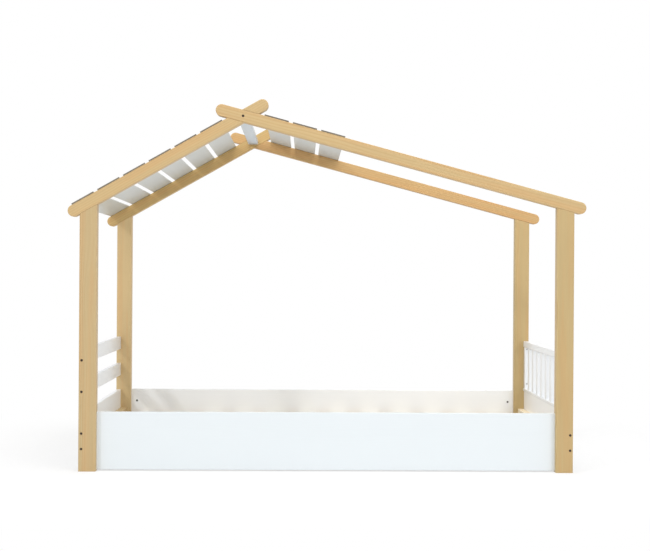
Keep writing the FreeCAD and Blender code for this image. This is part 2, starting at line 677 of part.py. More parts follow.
def make_guard():
    """The barred guard on the low board of the foot."""
    make_guard_rail("guard_bottom_rail", "panel_top", "bottom_rail_height",
                    "bottom_rail_height - mortise_depth")
    make_guard_rail("guard_top_rail", "guard_top - top_rail_height", "top_rail_height", "0")
    for side in (FRONT, BACK):
        make_guard_stile(side)
    for number, y in enumerate(bar_starts(), start=1):
        board(f"guard_bar_{number}", ("guard_bar_thickness", "guard_bar_width", "bar_length"),
              ("guard_middle_x - guard_bar_thickness / 2", f"{y} - inner_width / 2",
               "bar_foot"), 2)


# ----------------------------------------------------------------------- fixings
# A body holds one solid, so each kind of fixing is one shape of many solids,
# drawn from the sheet's sizes and set at the places found above.
def bolt_shape(length):
    """A bolt with a cylindrical head and hexagon socket, its head's seat at zero."""
    head = Part.makeCylinder(size("bolt_head_diameter / 2"), size("bolt_head_height"),
                             Vector(0, 0, -size("bolt_head_height")))
    shank = Part.makeCylinder(size("bolt_diameter / 2"), length)
    corner = size("bolt_socket") / math.sqrt(3)
    points = [Vector(corner * math.cos(math.radians(60 * n)),
                     corner * math.sin(math.radians(60 * n)), -size("bolt_head_height"))
              for n in range(7)]
    socket = Part.Face(Part.makePolygon(points)).extrude(Vector(0, 0, size("bolt_socket_depth")))
    return head.fuse(shank).removeSplitter().cut(socket)


def screw_shape(length, shank, head):
    """A countersunk wood screw with a cross slot, the top of its head at zero."""
    cone = (head - shank) / 2
    shape = Part.makeCone(head / 2, shank / 2, cone)
    shape = shape.fuse(Part.makeCylinder(shank / 2, length - cone - shank, Vector(0, 0, cone)))
    shape = shape.fuse(Part.makeCone(shank / 2, shank / 8, shank, Vector(0, 0, length - shank)))
    long_side, short_side, deep = head * 0.6, head * 0.14, cone * 0.8
    for width, depth in ((long_side, short_side), (short_side, long_side)):
        shape = shape.cut(Part.makeBox(width, depth, deep, Vector(-width / 2, -depth / 2, 0)))
    return shape


def nut_shape():
    """A barrel nut along Z with its bolt hole along X and a turning slot behind."""
    long, thick = size("nut_length"), size("nut_diameter")
    barrel = Part.makeCylinder(thick / 2, long, Vector(0, 0, -long / 2))
    hole = Part.makeCylinder(size(clear("bolt_diameter")) / 2, thick * 2,
                             Vector(-thick, 0, 0), Vector(1, 0, 0))
    wide, deep = size("nut_slot_width"), size("nut_slot_depth")
    slot = Part.makeBox(thick * 2, wide, deep, Vector(-thick, -wide / 2, -long / 2))
    return barrel.cut(hole).cut(slot)


def dowel_shape():
    """A wooden dowel along Z with chamfered ends."""
    long, thick, chamfer = size("dowel_length"), size("dowel_diameter"), size("dowel_chamfer")
    rod = Part.makeCylinder(thick / 2, long, Vector(0, 0, -long / 2))
    rims = [edge for edge in rod.Edges if edge.BoundBox.ZLength < 1e-3]
    return rod.makeChamfer(chamfer, rims)


def placed(shape, x, y, z, turn):
    """A copy of a shape at a place and turn."""
    copy = shape.copy()
    copy.Placement = Placement(Vector(size(x), size(y), size(z)), turn)
    return copy


def nut_turn(bolt_axis, turn):
    """The turn of a barrel nut whose hole must follow its bolt."""
    bolt = Vector(1, 0, 0) if bolt_axis == "X" else Vector(0, 1, 0)
    inward = turn.multVec(Vector(0, 0, 1))
    return Rotation(bolt, inward.cross(bolt), inward, "ZXY")


def make_group(label, shapes):
    """One node of separate solids."""
    group = doc.addObject("Part::Feature", label)
    group.Label = label
    group.Shape = Part.makeCompound(shapes)
    NODES.append(group)


def make_fixings():
    """All bolts, nuts, dowels and screws, one node for each kind."""
    for label, places, length in (
            ("frame_bolts", frame_bolts, "frame_bolt_length"),
            ("panel_bolts", panel_bolts, "panel_bolt_length")):
        bolt = bolt_shape(size(length))
        make_group(label, [placed(bolt, *place) for place in places])
    nut = nut_shape()
    make_group("barrel_nuts", [placed(nut, x, y, z, nut_turn(axis, turn))
                               for x, y, z, axis, turn in barrel_nuts])
    dowel = dowel_shape()
    make_group("wooden_dowels", [placed(dowel, *place) for place in dowels])
    for label, places, words in (
            ("rafter_screws", rafter_screws, "rafter_screw"),
            ("ledger_screws", ledger_screws, "screw"),
            ("guard_screws", guard_screws, "screw"),
            ("slat_screws", slat_screws, "slat_screw")):
        screw = screw_shape(size(words + "_length"), size(words + "_diameter"),
                            size(words + "_head"))
        make_group(label, [placed(screw, *place) for place in places])


# ------------------------------------------------------------------------ the bed
for end in (HEAD, FOOT):
    for side in (FRONT, BACK):
        make_post(end, side)
        make_rafter(end, side)
    for number, start in enumerate(slat_starts(end), start=1):
        make_roof_slat(end, number, start)
make_ridge_rail()
make_end_boards()
for side in (FRONT, BACK):
    make_side_panel(side)
    make_side_ledger(side)
for end in (HEAD, FOOT):
    make_end_ledger(end)
for number, left in enumerate(base_slat_places(), start=1):
    make_base_slat(number, left)
make_guard()
make_fixings()
doc.recompute()

for item in doc.Objects:
    if "Invalid" in item.State or "Error" in item.State:
        raise RuntimeError(f"{item.Name} did not compute: {item.State}")
for node in NODES:
    if node.Shape.isNull() or not node.Shape.isValid():
        raise RuntimeError(f"{node.Label} has no valid shape")

os.makedirs("parts", exist_ok=True)
for node in NODES:
    node.Shape.exportStep(os.path.join("parts", node.Label + ".step"))
print(len(NODES), "pieces written")
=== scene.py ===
"""Finishes, floor, light and camera of a child's house frame bed in pine and white."""

import logging
import math
from dataclasses import dataclass, field, replace
from enum import Enum
from typing import Any, Iterable, Mapping, Sequence, Union

import bpy
from mathutils import Euler, Matrix, Vector


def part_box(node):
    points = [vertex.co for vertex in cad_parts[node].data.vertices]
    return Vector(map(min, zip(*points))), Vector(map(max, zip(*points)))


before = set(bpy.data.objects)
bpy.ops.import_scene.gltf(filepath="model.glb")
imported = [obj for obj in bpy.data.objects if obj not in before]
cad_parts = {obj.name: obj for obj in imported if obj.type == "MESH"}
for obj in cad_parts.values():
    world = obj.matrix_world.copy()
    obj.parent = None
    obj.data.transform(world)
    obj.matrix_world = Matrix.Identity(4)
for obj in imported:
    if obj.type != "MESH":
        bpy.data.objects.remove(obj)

LOG = logging.getLogger("house_frame_bed")

Number = Union[float, int]
Operand = Union["Wire", float, int]
Colour = tuple[float, float, float]
Stretch = tuple[float, float]

WHITE: Colour = (1.0, 1.0, 1.0)


def linear(red: int, green: int, blue: int) -> Colour:
    """Turn a colour written in screen values into the shader's linear values.

    Args:
        red: Red, 0 to 255.
        green: Green, 0 to 255.
        blue: Blue, 0 to 255.

    Returns:
        The same colour in linear values, 0 to 1.
    """
    def one(value: int) -> float:
        share = value / 255
        return share / 12.92 if share <= 0.04045 else ((share + 0.055) / 1.055) ** 2.4

    return one(red), one(green), one(blue)


# --------------------------------------------------------------------- shader maths
class Wire:
    """An output socket that can stand in a Python expression."""

    def __init__(self, tree: "Tree", socket: bpy.types.NodeSocket) -> None:
        """Keep the tree and the socket that the wire comes from."""
        self.tree = tree
        self.socket = socket

    def math(self, operation: str, *others: Operand) -> "Wire":
        """Add a Math node that starts from this wire.

        Args:
            operation: The Math node's operation.
            others: The further operands.

        Returns:
            The node's result.
        """
        return self.tree.math(operation, self, *others)

    def __add__(self, other: Operand) -> "Wire":
        """Sum."""
        return self.math("ADD", other)

    def __radd__(self, other: Number) -> "Wire":
        """Sum, with the number first."""
        return self.tree.math("ADD", other, self)

    def __sub__(self, other: Operand) -> "Wire":
        """Difference."""
        return self.math("SUBTRACT", other)

    def __rsub__(self, other: Number) -> "Wire":
        """Difference, with the number first."""
        return self.tree.math("SUBTRACT", other, self)

    def __mul__(self, other: Operand) -> "Wire":
        """Product."""
        return self.math("MULTIPLY", other)

    def __rmul__(self, other: Number) -> "Wire":
        """Product, with the number first."""
        return self.tree.math("MULTIPLY", other, self)

    def __truediv__(self, other: Operand) -> "Wire":
        """Quotient."""
        return self.math("DIVIDE", other)

    def __abs__(self) -> "Wire":
        """Absolute value."""
        return self.math("ABSOLUTE")

    def fraction(self) -> "Wire":
        """The part after the decimal point."""
        return self.math("FRACT")

    def root(self) -> "Wire":
        """Square root."""
        return self.math("SQRT")

    def ramp(self, low: Number, high: Number) -> "Wire":
        """Rise smoothly from 0 to 1 between two values.

        Args:
            low: The value where the rise begins.
            high: The value where it ends.

        Returns:
            The share between 0 and 1.
        """
        node = self.tree.add("ShaderNodeMapRange", {"interpolation_type": "SMOOTHSTEP"},
                             {"Value": self, "From Min": low, "From Max": high})
        return Wire(self.tree, node.outputs["Result"])

    def band(self, start: Number, full: Number, fade: Number) -> "Wire":
        """Rise smoothly from 0 to 1 and fall back to 0 before the value reaches 1.

        Args:
            start: The value where the rise begins.
            full: The value where it ends.
            fade: The value where the fall begins.

        Returns:
            The share between 0 and 1.
        """
        return self.ramp(start, full) * (1 - self.ramp(fade, 1.0))


class Tree:
    """The node tree of one finish, or of the world."""

    def __init__(self, owner: bpy.types.Material | bpy.types.World) -> None:
        """Empty the owner's node tree and give it its output.

        Args:
            owner: The material or world.
        """
        owner.use_nodes = True
        self.owner = owner
        self.nodes = owner.node_tree.nodes
        self.links = owner.node_tree.links
        self.nodes.clear()
        material = isinstance(owner, bpy.types.Material)
        self.end = self.add("ShaderNodeOutputMaterial" if material else "ShaderNodeOutputWorld")

    @classmethod
    def named(cls, name: str) -> "Tree":
        """Start a new material.

        Args:
            name: The material's name.

        Returns:
            Its empty tree.
        """
        return cls(bpy.data.materials.new(name))

    def add(self, kind: str, settings: Mapping[str, Any] | None = None,
            inputs: Mapping[str | int, Any] | None = None) -> bpy.types.Node:
        """Add a node.

        Args:
            kind: The node's type.
            settings: Its properties, set first.
            inputs: Values or wires of its sockets, by name or number.

        Returns:
            The node.
        """
        node = self.nodes.new(kind)
        for name, value in (settings or {}).items():
            setattr(node, name, value)
        for name, value in (inputs or {}).items():
            if isinstance(value, Wire):
                self.links.new(value.socket, node.inputs[name])
            elif isinstance(value, tuple) and node.inputs[name].type == "RGBA":
                node.inputs[name].default_value = (*value, 1.0)
            else:
                node.inputs[name].default_value = value
        return node

    def wire(self, kind: str, output: str | int = 0,
             settings: Mapping[str, Any] | None = None,
             inputs: Mapping[str | int, Any] | None = None) -> Wire:
        """Add a node and take one of its outputs.

        Args:
            kind: The node's type.
            output: The output's name or number.
            settings: Its properties.
            inputs: Values or wires of its sockets.

        Returns:
            The output as a wire.
        """
        return Wire(self, self.add(kind, settings, inputs).outputs[output])

    def math(self, operation: str, *operands: Operand) -> Wire:
        """Add a Math node.

        Args:
            operation: What it works out.
            operands: Its inputs in order.

        Returns:
            Its result.
        """
        return self.wire("ShaderNodeMath", 0, {"operation": operation},
                         dict(enumerate(operands)))

    def mix(self, share: Operand, first: Wire | Colour, second: Wire | Colour) -> Wire:
        """Mix two colours.

        Args:
            share: How much of the second colour, 0 to 1.
            first: The first colour.
            second: The second colour.

        Returns:
            The mixed colour.
        """
        node = self.add("ShaderNodeMix", {"data_type": "RGBA"})
        for socket, value in ((node.inputs[0], share), (node.inputs[6], first),
                              (node.inputs[7], second)):
            if isinstance(value, Wire):
                self.links.new(value.socket, socket)
            elif isinstance(value, tuple):
                socket.default_value = (*value, 1.0)
            else:
                socket.default_value = value
        return Wire(self, node.outputs[2])

    def shade(self, colour: Wire, factor: Wire) -> Wire:
        """Multiply a colour by a number.

        Args:
            colour: The colour.
            factor: The number.

        Returns:
            The lighter or darker colour.
        """
        return self.wire("ShaderNodeVectorMath", 0, {"operation": "SCALE"},
                         {0: colour, "Scale": factor})

    def noise(self, at: Wire, scale: float, detail: float, seed: float,
              roughness: float = 0.5) -> Wire:
        """Add a noise pattern.

        Args:
            at: Where it is read.
            scale: Cells to the metre.
            detail: Octaves.
            seed: Which of many patterns.
            roughness: How strong the finer octaves are.

        Returns:
            A number about 0.5.
        """
        return self.wire("ShaderNodeTexNoise", 0, {"noise_dimensions": "4D"},
                         {"Vector": at, "W": seed, "Scale": scale, "Detail": detail,
                          "Roughness": roughness})

    def multiplied(self, first: Wire, second: Wire | tuple[float, float, float]) -> Wire:
        """Multiply two vectors or colours, number by number.

        Args:
            first: The first vector or colour.
            second: The second one.

        Returns:
            The products.
        """
        return self.wire("ShaderNodeVectorMath", 0, {"operation": "MULTIPLY"},
                         {0: first, 1: second})

    def grain(self, at: Wire, stretch: Stretch, seed: float, detail: float = 3.0,
              roughness: float = 0.5) -> Wire:
        """Add a noise pattern that is drawn out along the grain.

        Args:
            at: The place, with X along the grain.
            stretch: Cells to the metre along and across the grain.
            seed: Which of many patterns.
            detail: Octaves.
            roughness: How strong the finer octaves are.

        Returns:
            A number about 0.5.
        """
        along, across = stretch
        return self.noise(self.multiplied(at, (along, across, across)), 1.0, detail, seed,
                          roughness)

    def split(self, at: Wire) -> list[Wire]:
        """Take a place apart.

        Args:
            at: The place.

        Returns:
            Its X, Y and Z.
        """
        parts = self.add("ShaderNodeSeparateXYZ", None, {0: at})
        return [Wire(self, output) for output in parts.outputs]

    def facing(self, direction: Vector) -> Wire:
        """How squarely the surface faces along a direction, from 0 to 1.

        Args:
            direction: The direction, of length 1.

        Returns:
            The share, the same for both senses.
        """
        normal = self.wire("ShaderNodeNewGeometry", "Normal")
        return abs(self.wire("ShaderNodeVectorMath", "Value", {"operation": "DOT_PRODUCT"},
                             {0: normal, 1: tuple(direction)}))

    def surface(self, values: Mapping[str, Any], height: Wire | None = None,
                depth: float = 0.0002, strength: float = 1.0) -> bpy.types.Material:
        """Finish the tree with a Principled shader.

        Args:
            values: Values or wires of the shader's sockets.
            height: Relief of the surface, 0 to 1.
            depth: How deep the relief goes, in metres.
            strength: How much of the relief shows.

        Returns:
            The finished material.
        """
        sockets = dict(values)
        if height is not None:
            sockets["Normal"] = self.wire("ShaderNodeBump", 0, None, {
                "Height": height, "Distance": depth, "Strength": strength})
        return self.finish(self.wire("ShaderNodeBsdfPrincipled", 0, None, sockets))

    def finish(self, shader: Wire) -> bpy.types.Material | bpy.types.World:
        """Connect the last shader.

        Args:
            shader: The shader.

        Returns:
            The finished material or world.
        """
        self.links.new(shader.socket, self.end.inputs["Surface"])
        return self.owner


# ------------------------------------------------------------------ grain of a board
class Run(Enum):
    """The way a board's grain runs, as the turn that takes +X to it."""

    ALONG = (0.0, 0.0, 0.0)
    ACROSS = (0.0, 0.0, 90.0)
    UPRIGHT = (0.0, -90.0, 0.0)
    HEAD_SLOPE = (0.0, -29.7, 0.0)
    FOOT_SLOPE = (0.0, 14.8, 0.0)

    def turn(self) -> Euler:
        """The turn in radians."""
        return Euler([math.radians(angle) for angle in self.value])

    def axis(self) -> Vector:
        """The direction of the grain."""
        return self.turn().to_matrix() @ Vector((1.0, 0.0, 0.0))


@dataclass(frozen=True)
class Board:
    """One piece of timber: where its middle is and how it was cut from the tree.

    Attributes:
        name: The piece's name.
        run: The way its grain runs.
        seed: Which stretch of timber it is.
    """

    name: str
    run: Run
    seed: float

    def middle(self) -> Vector:
        """The middle of the piece, in metres."""
        low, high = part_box(self.name)
        return (low + high) / 2

    def local(self, tree: Tree) -> Wire:
        """Places on the board, from its middle and with X along the grain.

        Args:
            tree: The finish's node tree.

        Returns:
            The place in metres.
        """
        at = tree.wire("ShaderNodeTexCoord", "Object")
        return tree.wire("ShaderNodeMapping", 0, {"vector_type": "TEXTURE"}, {
            "Vector": at, "Location": tuple(self.middle()), "Rotation": tuple(self.run.turn())})

    def end_cut(self, tree: Tree) -> Wire:
        """How squarely the surface cuts the grain, from 0 on a face to 1 on an end.

        Args:
            tree: The finish's node tree.

        Returns:
            The share between 0 and 1.
        """
        return tree.facing(self.run.axis())


@dataclass(frozen=True)
class Figure:
    """The growth rings of a board, worked out in the solid.

    Attributes:
        ring: Width of a year's ring, in metres.
        pith_y: The tree's middle beside the board, in metres.
        pith_z: The tree's middle above the board, in metres.
        taper: How fast the rings run out along the board.
        wander: How far the rings wander, in metres.
        sway: Cells to the metre of their slow wandering.
        ripple: Cells to the metre of their quick unevenness.
    """

    ring: float = 0.0042
    pith_y: float = 0.045
    pith_z: float = 0.06
    taper: float = 0.006
    wander: float = 0.011
    sway: Stretch = (1.6, 9.0)
    ripple: Stretch = (8.0, 60.0)

    def rings(self, tree: Tree, at: Wire, seed: float) -> Wire:
        """Go through each ring from 0 at its pale start to 1 at its dark end.

        Args:
            tree: The finish's node tree.
            at: Places on the board.
            seed: Which stretch of timber it is.

        Returns:
            The share of the ring's width.
        """
        x, y, z = tree.split(at)
        flip = 1.0 if int(seed) % 2 else -1.0
        beside = y - flip * self.pith_y * (0.4 + 0.6 * math.modf(seed * 0.37)[0])
        above = z - self.pith_z * (0.6 + 0.5 * math.modf(seed * 0.61)[0])
        radius = (beside * beside + above * above).root()
        slow = tree.grain(at, self.sway, seed, 2.0)
        quick = tree.grain(at, self.ripple, seed + 3.0, 2.0)
        radius = (radius + x * self.taper + (slow - 0.5) * (2 * self.wander)
                  + (quick - 0.5) * (self.ring * 0.5))
        return (radius / self.ring).fraction()


# -------------------------------------------------------------------------- finishes
@dataclass(frozen=True)
class Pine:
    """Bare pine under a thin matt lacquer.

    Attributes:
        pale: The early wood.
        dark: The late wood's line in each ring.
        end: The end grain.
        warm: Factors on the colour where resin warms the wood.
        contrast: How strongly the late wood's lines show.
        figure: The growth rings.
        fibres: Cells to the metre of the fine fibres.
        streaks: Cells to the metre of the darker streaks.
        resin: Cells to the metre of the bands of resin.
        clouds: Cells to the metre of the slow change of tone.
        relief: Depth of the grain's relief, in metres.
    """

    pale: Colour = linear(212, 188, 141)
    dark: Colour = linear(196, 158, 102)
    end: Colour = linear(203, 154, 98)
    warm: Colour = (1.025, 0.95, 0.90)
    contrast: float = 0.35
    figure: Figure = Figure()
    fibres: Stretch = (10.0, 620.0)
    streaks: Stretch = (1.1, 55.0)
    resin: Stretch = (1.8, 42.0)
    clouds: float = 2.2
    relief: float = 0.00012

    def with_painted_tone(self, share: float) -> "Pine":
        """The same timber with its colours scaled by a factor, which paints in shade below 1 and
        light above 1.

        Args:
            share: Factor on its colours, 1 for no change.

        Returns:
            The finish with its colours scaled.
        """
        pale, dark, end = (tuple(value * share for value in colour)
                           for colour in (self.pale, self.dark, self.end))
        return replace(self, pale=pale, dark=dark, end=end)

    def material(self, board: Board) -> bpy.types.Material:
        """Make the finish of one board.

        Args:
            board: The board.

        Returns:
            The material.
        """
        tree = Tree.named(f"pine_{board.name}")
        at = board.local(tree)
        ring = self.figure.rings(tree, at, board.seed)
        line = ring.band(0.35, 0.86, 0.93)
        fibre = tree.grain(at, self.fibres, board.seed, roughness=0.6)
        streak = tree.grain(at, self.streaks, board.seed + 7.0)
        cloud = tree.noise(at, self.clouds, 2.0, board.seed + 11.0)
        resin = tree.grain(at, self.resin, board.seed + 17.0)
        end = board.end_cut(tree).ramp(0.35, 0.95)

        colour = tree.mix(line * (self.contrast + 0.45 * streak), self.pale, self.dark)
        tint = tree.mix(resin.ramp(0.44, 0.62), WHITE, self.warm)
        colour = tree.mix(end * 0.75, tree.multiplied(colour, tint), self.end)
        tone = 1.0 + (fibre - 0.5) * 0.12 + (streak - 0.5) * 0.16 + (cloud - 0.5) * 0.08
        colour = tree.shade(colour, tone - end * line * 0.10)
        rough = 0.44 + fibre * 0.12 + end * 0.18 - line * 0.05
        height = line * 0.35 + fibre * 0.65
        return tree.surface({
            "Base Color": colour, "Roughness": rough, "IOR": 1.45,
            "Coat Weight": 0.08, "Coat Roughness": 0.35}, height, self.relief, 0.5)


@dataclass(frozen=True)
class Paint:
    """Satin paint sprayed on smooth boards, with the grain just showing through.

    Attributes:
        label: A word for the paint.
        body: The paint's colour.
        thin: Its colour where it is thinnest.
        cut: The colour of the board's ends.
        cut_share: How much the ends differ.
        gloss: Roughness of the paint.
        coat: Weight of its clear top coat.
        mottle: How uneven the spraying is.
        figure: The growth rings under the paint.
        passes: Cells to the metre of the spray gun's passes.
        peel: Cells to the metre of the fine orange peel.
        relief: Depth of the paint's relief, in metres.
    """

    label: str
    body: Colour
    thin: Colour
    cut: Colour
    cut_share: float = 0.0
    gloss: float = 0.32
    coat: float = 0.35
    mottle: float = 1.0
    figure: Figure = Figure(ring=0.0055, wander=0.014)
    passes: Stretch = (2.0, 7.0)
    peel: float = 520.0
    relief: float = 0.00006

    def material(self, board: Board) -> bpy.types.Material:
        """Make the finish of one board.

        Args:
            board: The board.

        Returns:
            The material.
        """
        tree = Tree.named(f"{self.label}_{board.name}")
        at = board.local(tree)
        ring = self.figure.rings(tree, at, board.seed)
        line = ring.band(0.3, 0.85, 0.92)
        peel = tree.noise(at, self.peel, 2.0, board.seed)
        spray = tree.grain(at, self.passes, board.seed + 5.0)
        end = board.end_cut(tree).ramp(0.8, 0.97)

        colour = tree.mix((spray.ramp(0.3, 0.8) * 0.55) + line * 0.18, self.body, self.thin)
        colour = tree.mix(end * self.cut_share, colour, self.cut)
        colour = tree.shade(colour, 1.0 + (spray - 0.5) * (0.02 * self.mottle)
                            + (peel - 0.5) * 0.012)
        rough = self.gloss + (spray - 0.5) * (0.12 * self.mottle) + peel * 0.05 + end * 0.2
        height = peel * 0.5 + line * 0.5
        return tree.surface({
            "Base Color": colour, "Roughness": rough, "IOR": 1.5,
            "Coat Weight": self.coat, "Coat Roughness": 0.16}, height, self.relief, 0.45)


@dataclass(frozen=True)
class Veneer:
    """Birch veneers glued in a bow, their edges showing as fine lines.

    Attributes:
        pale: The face veneer.
        dark: The veneers that turn dark along the edges.
        radius: Radius of the bow, in metres.
        crown: Height of the bow's top above the floor, in metres.
        ply: Thickness of one veneer, in metres.
        fibres: Cells to the metre of the fine fibres.
        streaks: Cells to the metre of the darker streaks.
        relief: Depth of the grain's relief, in metres.
    """

    pale: Colour = linear(238, 226, 203)
    dark: Colour = linear(196, 164, 120)
    radius: float = 4.0469
    crown: float = 0.152
    ply: float = 0.00115
    fibres: Stretch = (12.0, 480.0)
    streaks: Stretch = (1.4, 40.0)
    relief: float = 0.0001

    def material(self, board: Board) -> bpy.types.Material:
        """Make the finish of one slat.

        Args:
            board: The slat.

        Returns:
            The material.
        """
        tree = Tree.named(f"veneer_{board.name}")
        at = board.local(tree)
        fibre = tree.grain(at, self.fibres, board.seed, roughness=0.6)
        streak = tree.grain(at, self.streaks, board.seed + 2.0)
        _, across, up = tree.split(tree.wire("ShaderNodeTexCoord", "Object"))
        beside = across - board.middle().y
        above = up - (self.crown - self.radius)
        layer = ((beside * beside + above * above).root() - self.radius) / self.ply + 20.0
        fold = (layer / 2.0).fraction()
        stripe = fold.band(0.44, 0.52, 0.93)
        side = tree.facing(Vector((1.0, 0.0, 0.0))).ramp(0.4, 0.8)
        edge = tree.math("MAXIMUM", side, board.end_cut(tree).ramp(0.5, 0.9))
        colour = tree.mix(edge * (0.25 + stripe * 0.6), self.pale, self.dark)
        colour = tree.shade(colour, 1.0 + (fibre - 0.5) * 0.14 + (streak - 0.5) * 0.16)
        return tree.surface({
            "Base Color": colour, "Roughness": 0.46 + fibre * 0.14 + edge * 0.1,
            "IOR": 1.45}, fibre, self.relief, 0.4)


@dataclass(frozen=True)
class Metal:
    """Plated or coated steel of the fixings.

    Attributes:
        label: A word for the metal.
        clean: Its colour.
        stained: Its colour where handling has dulled it.
        metallic: 1 for bare plating, less under a coat.
        rough: Roughness.
        blotches: Cells to the metre of the dulled places.
        scratches: Cells to the metre of the fine scratches.
        relief: Depth of the scratches, in metres.
    """

    label: str
    clean: Colour
    stained: Colour
    metallic: float
    rough: float
    blotches: float = 260.0
    scratches: Stretch = (900.0, 3000.0)
    relief: float = 0.00003

    def material(self) -> bpy.types.Material:
        """Make the finish of one kind of fixing.

        Returns:
            The material.
        """
        tree = Tree.named(self.label)
        at = tree.wire("ShaderNodeTexCoord", "Object")
        blotch = tree.noise(at, self.blotches, 3.0, 1.0)
        scratch = tree.grain(at, self.scratches, 4.0, 2.0)
        colour = tree.mix(blotch.ramp(0.4, 0.75), self.clean, self.stained)
        rough = self.rough + (blotch - 0.5) * 0.25 + (scratch - 0.5) * 0.1
        return tree.surface({
            "Base Color": colour, "Metallic": self.metallic, "Roughness": rough},
            scratch, self.relief, 0.5)


class Finishes:
    """All finishes of the bed."""

    pine = Pine()
    # Painted shade: the head post at the front takes the pine darkened to 0.82.
    front_post_painted_shade_pine = pine.with_painted_tone(0.82)
    rafter_pine = Pine(pale=linear(199, 172, 124), dark=linear(182, 146, 92), contrast=0.1,
                       figure=Figure(ring=0.0095, pith_z=0.05, taper=0.002, wander=0.016))
    # Painted shade: the back rafters take darker copies of the rafter pine, shaded_pine at the
    # head and this one at the foot.
    back_rafter_painted_shade_pine = replace(rafter_pine, pale=linear(201, 166, 113), dark=linear(181, 135, 80))
    shaded_pine = replace(rafter_pine, pale=linear(200, 170, 113), dark=linear(180, 141, 83))
    # Painted shade: the foot posts take a darker copy of the pine.
    foot_post_painted_shade_pine = Pine(pale=linear(193, 170, 122), dark=linear(172, 139, 87))
    # Painted light: the foot ledger takes a paler pine than the head ledger.
    foot_ledger_painted_light_pine = Pine(pale=linear(243, 231, 204), dark=linear(226, 206, 168))
    beech = Pine(pale=linear(205, 168, 124), dark=linear(188, 146, 101),
                 end=linear(182, 140, 96), figure=Figure(ring=0.0018, wander=0.002))
    veneer = Veneer()
    # Painted shade: the front panel takes a darker, cooler copy of the white paint.
    front_panel_painted_shade_white = Paint("cool_white_painted_shade", linear(225, 231, 234), linear(222, 228, 231),
                        linear(228, 232, 233), 0.4, coat=0.1)
    white = Paint("white", linear(250, 252, 254), linear(247, 250, 252),
                  linear(240, 243, 244), 0.4)
    # Painted shade: the upper head boards and the guard take the white paint darkened.
    outer_painted_shade_white = Paint("soft_white_painted_shade", linear(238, 241, 244), linear(235, 238, 240),
                        linear(232, 235, 236), 0.4)
    # Painted shade: the roof slats take the white paint darkened to grey; their ends are dark
    # grey-brown.
    roof_painted_shade_white = Paint("roof_painted_shade_white", linear(199, 203, 201), linear(194, 198, 195),
                       linear(118, 109, 96), 1.0, 0.3, 0.05, 0.3)
    ridge_blue = Paint("pale_blue_grey", linear(197, 207, 215), linear(190, 201, 210),
                       linear(160, 154, 146), 0.6, 0.3, 0.05, 0.3)
    dark_steel = Metal("dark_steel", linear(78, 62, 52), linear(54, 44, 38), 0.35, 0.42)
    zinc = Metal("zinc_plate", linear(196, 197, 196), linear(170, 168, 160), 1.0, 0.34)
    # Painted shade: the barrel nuts' steel is dark grey, standing in for the dark walls of the
    # holes they sit in.
    nut_steel_painted_shade = Metal("nut_steel_painted_shade", linear(96, 98, 100), linear(74, 75, 76), 0.7, 0.45)


def dress(name: str, material: bpy.types.Material) -> None:
    """Give a piece its finish and report it.

    Args:
        name: The piece's name.
        material: The finish.
    """
    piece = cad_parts[name]
    piece.data.materials.clear()
    piece.data.materials.append(material)
    LOG.info("%s: %s", name, material.name)


def named(prefix: str) -> list[str]:
    """Names of the pieces that start with a word, in order.

    Args:
        prefix: The word.

    Returns:
        The names.
    """
    return sorted(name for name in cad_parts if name.startswith(prefix))


# --------------------------------------------------------------------- sub-assemblies
@dataclass
class HouseFrame:
    """Posts, rafters and the rail along the ridge.

    Attributes:
        post_seed: Stretch of timber of the first post.
        rafter_seed: Stretch of timber of the first rafter.
        ridge_seed: Stretch of timber of the ridge rail.
        seed_step: How far apart the pieces' stretches of timber are.
    """

    post_seed: float = 1.3
    rafter_seed: float = 14.2
    ridge_seed: float = 3.1
    seed_step: float = 2.7

    def dress(self) -> None:
        """Give every piece its timber."""
        for number, name in enumerate(named("post_")):
            # Painted shade: the foot posts and the head post at the front take darker copies of
            # the pine.
            timber = {"post_front_foot": Finishes.foot_post_painted_shade_pine,
                      "post_back_foot": Finishes.foot_post_painted_shade_pine,
                      "post_front_head": Finishes.front_post_painted_shade_pine}.get(name, Finishes.pine)
            board = Board(name, Run.UPRIGHT, self.post_seed + number * self.seed_step)
            dress(name, timber.material(board))
        rafters = [name for name in named("rafter_") if name != "rafter_screws"]
        for number, name in enumerate(rafters):
            run = Run.HEAD_SLOPE if name.endswith("head") else Run.FOOT_SLOPE
            # Painted shade: both back rafters take darker copies of the rafter pine.
            timber = {"rafter_back_head": Finishes.shaded_pine,
                      "rafter_back_foot": Finishes.back_rafter_painted_shade_pine}.get(name, Finishes.rafter_pine)
            board = Board(name, run, self.rafter_seed + number * self.seed_step)
            dress(name, timber.material(board))
        rail = Board("ridge_rail", Run.ACROSS, self.ridge_seed)
        dress(rail.name, Finishes.ridge_blue.material(rail))


@dataclass
class PartRoof:
    """The thin slats across the rafters.

    Attributes:
        first_seed: Stretch of timber of the first slat.
        seed_step: How far apart the slats' stretches of timber are.
    """

    first_seed: float = 31.0
    seed_step: float = 1.9

    def dress(self) -> None:
        """Paint every slat."""
        for number, name in enumerate(named("roof_slat_")):
            board = Board(name, Run.ACROSS, self.first_seed + number * self.seed_step)
            # Painted shade: the slats' white is darkened to grey.
            dress(name, Finishes.roof_painted_shade_white.material(board))


